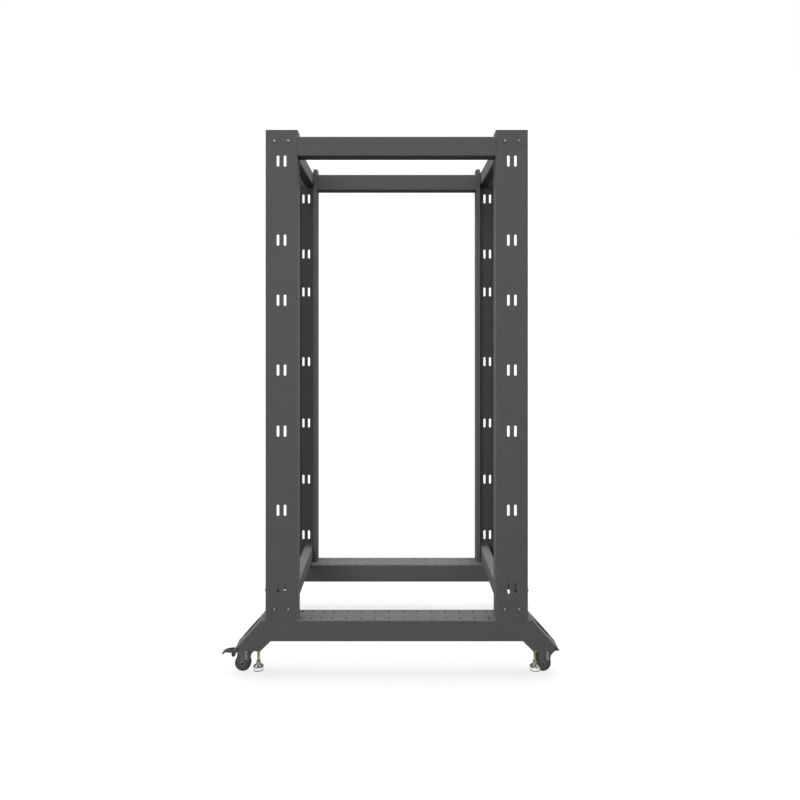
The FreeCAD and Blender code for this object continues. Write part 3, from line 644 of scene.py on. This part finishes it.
HOLE_ROW_OFFSET = 25.0 * MM
FIRST_HOLE = -294.0 * MM
END_PITCH = 32.0 * MM
END_HOLES = 4
LAST_END_HOLE = -198.0 * MM
LONG_PITCH = 43.7 * MM
LONG_HOLES = 11
HOLE_SHADE_SIDES = 20
HOLE_SHADE_OUTLINE = [(2.35, -2.6), (3.15, -2.6), (4.2, 0.05), (4.0, 0.15), (2.5, 0.05)]


def add_deck_hole_shade(side_name):
    beam = middle(f"base_beam_{side_name}")
    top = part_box(f"base_beam_{side_name}")[1][2]
    places = [FIRST_HOLE + END_PITCH * index for index in range(END_HOLES)]
    places += [LAST_END_HOLE + LONG_PITCH * index for index in range(1, LONG_HOLES + 1)]
    for row in (-1, 1):
        for index, along in enumerate(places):
            # Each near-black lining paints the shade inside a hole.
            edge = new_piece(f"hole_edge_{side_name}_{row + 1}_{index}",
                             lathe(in_metres(HOLE_SHADE_OUTLINE), HOLE_SHADE_SIDES, closed=True), PAINTED_SHADE,
                             (along, beam.y + row * HOLE_ROW_OFFSET, top))
            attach(edge, "frame")


# Near-black linings round the openings in the legs' sloped ends: painted shade inside the openings

OPENING_INSET = 58.0 * MM
OPENING_HEIGHT = 131.0 * MM
OPENING_HALF_WIDTH = 16.0 * MM
OPENING_HALF_RISE = 27.0 * MM
OPENING_CUT = 9.37 * MM
CUT_GROWTH = 0.59
SHADE_LINING_SECTION = [(-0.9, 0.1), (0.3, 0.1), (0.3, -3.4), (-0.9, -3.4)]
TOP_TOLERANCE = 0.1 * MM


def opening_corners(spread):
    """The eight corners of a leg's opening across and up, grown by the spread."""
    half_y = OPENING_HALF_WIDTH + spread
    half_z = OPENING_HALF_RISE + spread
    cut = OPENING_CUT + spread * CUT_GROWTH
    upper = [(half_y, half_z - cut), (half_y - cut, half_z), (cut - half_y, half_z),
             (-half_y, half_z - cut)]
    return upper + [(-y, -z) for y, z in upper]


def add_leg_opening_shade(side_name, y_sign):
    beam = frame["nodes"][f"base_beam_{side_name}"]
    low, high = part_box(f"base_beam_{side_name}")
    points = [beam.matrix_world @ vertex.co for vertex in beam.data.vertices]
    flat_end = max(point.x for point in points if point.z > high[2] - TOP_TOLERANCE)
    web = low[1] if y_sign < 0 else high[1]
    opening_y = web - y_sign * OPENING_INSET
    slope = (high[0] - flat_end) / (high[2] - low[2])
    outward = Vector((1.0, 0.0, slope)).normalized()
    for end in (-1, 1):
        rim = bmesh.new()
        rings = []
        for spread, depth in in_metres(SHADE_LINING_SECTION):
            ring = []
            for y, z in opening_corners(spread):
                height = OPENING_HEIGHT + z
                reach = flat_end + (high[2] - height) * slope
                spot = Vector((reach, opening_y + y, height)) + outward * depth
                ring.append(rim.verts.new((spot.x * end, spot.y, spot.z)))
            rings.append(ring)
        for near, far in zip(rings, rings[1:] + rings[:1]):
            join_rings(rim, near, far)
        # Each near-black lining paints the shade inside a leg's opening.
        edge = new_piece(f"leg_opening_shade_{side_name}_{end + 1}", rim, PAINTED_SHADE)
        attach(edge, "frame")


# Pedals: rounded edges, side walls and grip bars across the top

PEDAL_EDGE = 0.45 * MM
WALL_OUTLINE = [(20.0, 64.0), (24.0, 66.6), (30.0, 67.6), (40.0, 66.6), (52.0, 64.4), (60.0, 60.8),
                (56.0, 58.0), (44.0, 56.6), (34.0, 55.6), (24.0, 56.0), (20.0, 58.5)]
WALL_INNER = 4.6 * MM
WALL_OUTER = 6.3 * MM
BAR_COUNT = 4
BAR_SIZE = (1.3 * MM, 11.0 * MM, 0.8 * MM)
BAR_EDGE = 0.3 * MM
BAR_START = 34.0 * MM
BAR_PITCH = 4.0 * MM
BAR_HEIGHT = 64.3 * MM


def pedal_wall(pivot, way, middle_y, side):
    """One side wall of a pedal, from its outline of reach and height."""
    wall = bmesh.new()
    rings = []
    for depth in (WALL_INNER, WALL_OUTER):
        rings.append([wall.verts.new((pivot + way * reach, middle_y + side * depth, height))
                      for reach, height in in_metres(WALL_OUTLINE)])
    close_rod(wall, rings)
    return wall


def add_pedal(corner, way):
    tread = softened(f"pedal_{corner}", f"brake_pedal_{corner}", PEDAL_STEEL, PEDAL_EDGE)
    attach(tread, f"pedal_{corner}")
    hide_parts(f"brake_pedal_{corner}")
    centre = middle(f"brake_pedal_{corner}")
    pivot = middle(f"caster_wheel_{corner}").x
    for side in (-1, 1):
        flange = new_piece(f"pedal_flange_{corner}_{side + 1}",
                           pedal_wall(pivot, way, centre.y, side), PEDAL_STEEL)
        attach(flange, f"pedal_{corner}")
    for index in range(BAR_COUNT):
        bar = bmesh.new()
        bmesh.ops.create_cube(bar, size=1.0)
        bmesh.ops.scale(bar, vec=BAR_SIZE, verts=bar.verts)
        bmesh.ops.bevel(bar, geom=bar.edges[:], offset=BAR_EDGE, segments=2, affect="EDGES")
        spot = (pivot + way * (BAR_START + BAR_PITCH * index), centre.y, BAR_HEIGHT)
        grip = new_piece(f"pedal_bar_{corner}_{index}", bar, PEDAL_STEEL, spot)
        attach(grip, f"pedal_{corner}")


for corner, x_sign, y_sign in CORNERS:
    add_web_screws(corner, x_sign, y_sign)
    add_wheel(corner)
    add_fork(corner)
    add_caster_top(corner)
    add_pad(corner)
    add_stud(corner)
    add_foot_bolts(corner)
for side_name, y_sign in SIDES:
    add_deck_hole_shade(side_name)
    add_leg_opening_shade(side_name, y_sign)
add_pedal("front_right", -1)
add_pedal("front_left", 1)


# Stage: a white floor that curves up into a backdrop, and the air around it

FLOOR_COLOUR = (0.11, 0.11, 0.11, 1.0)
FLOOR_ROUGHNESS = 0.9
FLOOR_DROP = 0.5 * MM
FLOOR_GLOW = (0.755, 0.85)
GLOW_REACH = (1.0, 3.2)
FLOOR_REACH = 16.0
BEND_START = 3.2
BEND_RADIUS = 1.6
BEND_STEPS = 12
BACKDROP_TOP = 9.0
HORIZON_SPAN = (-0.25, 0.35)
AIR_LIGHT = (0.02, 0.5)


def math_node(tree, operation):
    node = tree.nodes.new("ShaderNodeMath")
    node.operation = operation
    return node


def seen_rays(tree):
    """One for the rays that show the background, to the eye or in a reflection, else zero."""
    path = tree.nodes.new("ShaderNodeLightPath")
    direct = math_node(tree, "MAXIMUM")
    tree.links.new(path.outputs["Is Camera Ray"], direct.inputs[0])
    tree.links.new(path.outputs["Is Glossy Ray"], direct.inputs[1])
    either = math_node(tree, "MAXIMUM")
    tree.links.new(direct.outputs[0], either.inputs[0])
    tree.links.new(path.outputs["Is Transmission Ray"], either.inputs[1])
    return either.outputs[0]


def floor_material():
    """A matt floor with a glow of its own, stronger away from the rack, that only seen rays take up."""
    material = bpy.data.materials.new("studio_white")
    material.use_nodes = True
    tree = material.node_tree
    shader = tree.nodes["Principled BSDF"]
    shader.inputs["Base Color"].default_value = FLOOR_COLOUR
    shader.inputs["Roughness"].default_value = FLOOR_ROUGHNESS
    shader.inputs["Emission Color"].default_value = WHITE
    place = tree.nodes.new("ShaderNodeTexCoord")
    distance = tree.nodes.new("ShaderNodeVectorMath")
    distance.operation = "LENGTH"
    glow = map_range(tree, GLOW_REACH, FLOOR_GLOW)
    level = math_node(tree, "MULTIPLY")
    tree.links.new(place.outputs["Object"], distance.inputs[0])
    tree.links.new(distance.outputs["Value"], glow.inputs["Value"])
    tree.links.new(glow.outputs["Result"], level.inputs[1])
    tree.links.new(seen_rays(tree), level.inputs[0])
    tree.links.new(level.outputs[0], shader.inputs["Emission Strength"])
    return material


def studio_sweep():
    """A floor that curves up into a backdrop behind the rack."""
    mesh = bmesh.new()
    path = [(-FLOOR_REACH, 0.0), (BEND_START, 0.0)]
    path += [(BEND_START + BEND_RADIUS * math.sin(angle), BEND_RADIUS - BEND_RADIUS * math.cos(angle))
             for angle in quarter(BEND_STEPS)]
    path += [(BEND_START + BEND_RADIUS, BACKDROP_TOP)]
    rows = [[mesh.verts.new((x, y, z)) for x in (-FLOOR_REACH, FLOOR_REACH)] for y, z in path]
    for lower, upper in zip(rows, rows[1:]):
        mesh.faces.new((lower[0], lower[1], upper[1], upper[0]))
    return mesh


def light_air():
    """The light of the air, from dim below to brighter above, and plain white where it is seen."""
    world = bpy.data.worlds.new("studio_air")
    bpy.context.scene.world = world
    world.use_nodes = True
    air = world.node_tree
    background = air.nodes["Background"]
    direction = air.nodes.new("ShaderNodeTexCoord")
    split = air.nodes.new("ShaderNodeSeparateXYZ")
    strength = map_range(air, HORIZON_SPAN, AIR_LIGHT)
    shown = air.nodes.new("ShaderNodeMix")
    shown.inputs["B"].default_value = 1.0
    air.links.new(direction.outputs["Generated"], split.inputs["Vector"])
    air.links.new(split.outputs["Z"], strength.inputs["Value"])
    air.links.new(strength.outputs["Result"], shown.inputs["A"])
    air.links.new(seen_rays(air), shown.inputs["Factor"])
    air.links.new(shown.outputs["Result"], background.inputs["Strength"])
    background.inputs["Color"].default_value = WHITE


floor = new_piece("studio_floor", studio_sweep(), floor_material(), (0.0, 0.0, -FLOOR_DROP))
floor.visible_diffuse = False
light_air()


# Lights and camera

SENSOR_WIDTH = 36.0
LENS = 29.67
LENS_SHIFT = (0.0041, -0.09)
CAMERA_PLACE = (0.0, -2.283, 1.0673)


def area_light(name, place, target, width, height, power):
    data = bpy.data.lights.new(name, "AREA")
    data.shape = "RECTANGLE"
    data.size = width
    data.size_y = height
    data.energy = power
    lamp = bpy.data.objects.new(name, data)
    lamp.location = place
    aim = Vector(target) - Vector(place)
    lamp.rotation_euler = aim.to_track_quat("-Z", "Y").to_euler()
    bpy.context.scene.collection.objects.link(lamp)


area_light("top_light", (0.0, 0.1, 4.2), (0.0, 0.0, 0.8), width=3.4, height=2.6, power=160.0)
area_light("left_light", (-4.0, -0.6, 3.4), (0.0, 0.0, 0.9), width=2.6, height=2.8, power=175.0)
area_light("right_light", (4.0, -0.6, 3.4), (0.0, 0.0, 0.9), width=2.6, height=2.8, power=175.0)
area_light("front_light", (-0.8, -4.6, 1.7), (0.0, 0.0, 0.7), width=2.6, height=2.2, power=134.0)
area_light("backdrop_light", (0.0, 1.6, 5.4), (0.0, 4.8, 1.6), width=6.0, height=1.6, power=420.0)

camera_data = bpy.data.cameras.new("photo_camera")
camera_data.sensor_width = SENSOR_WIDTH
camera_data.lens = LENS
camera_data.shift_x, camera_data.shift_y = LENS_SHIFT
camera = bpy.data.objects.new("photo_camera", camera_data)
camera.location = CAMERA_PLACE
camera.rotation_euler = (QUARTER_TURN, 0.0, 0.0)
bpy.context.scene.collection.objects.link(camera)
bpy.context.scene.camera = camera
bpy.context.scene.view_settings.view_transform = "Standard"
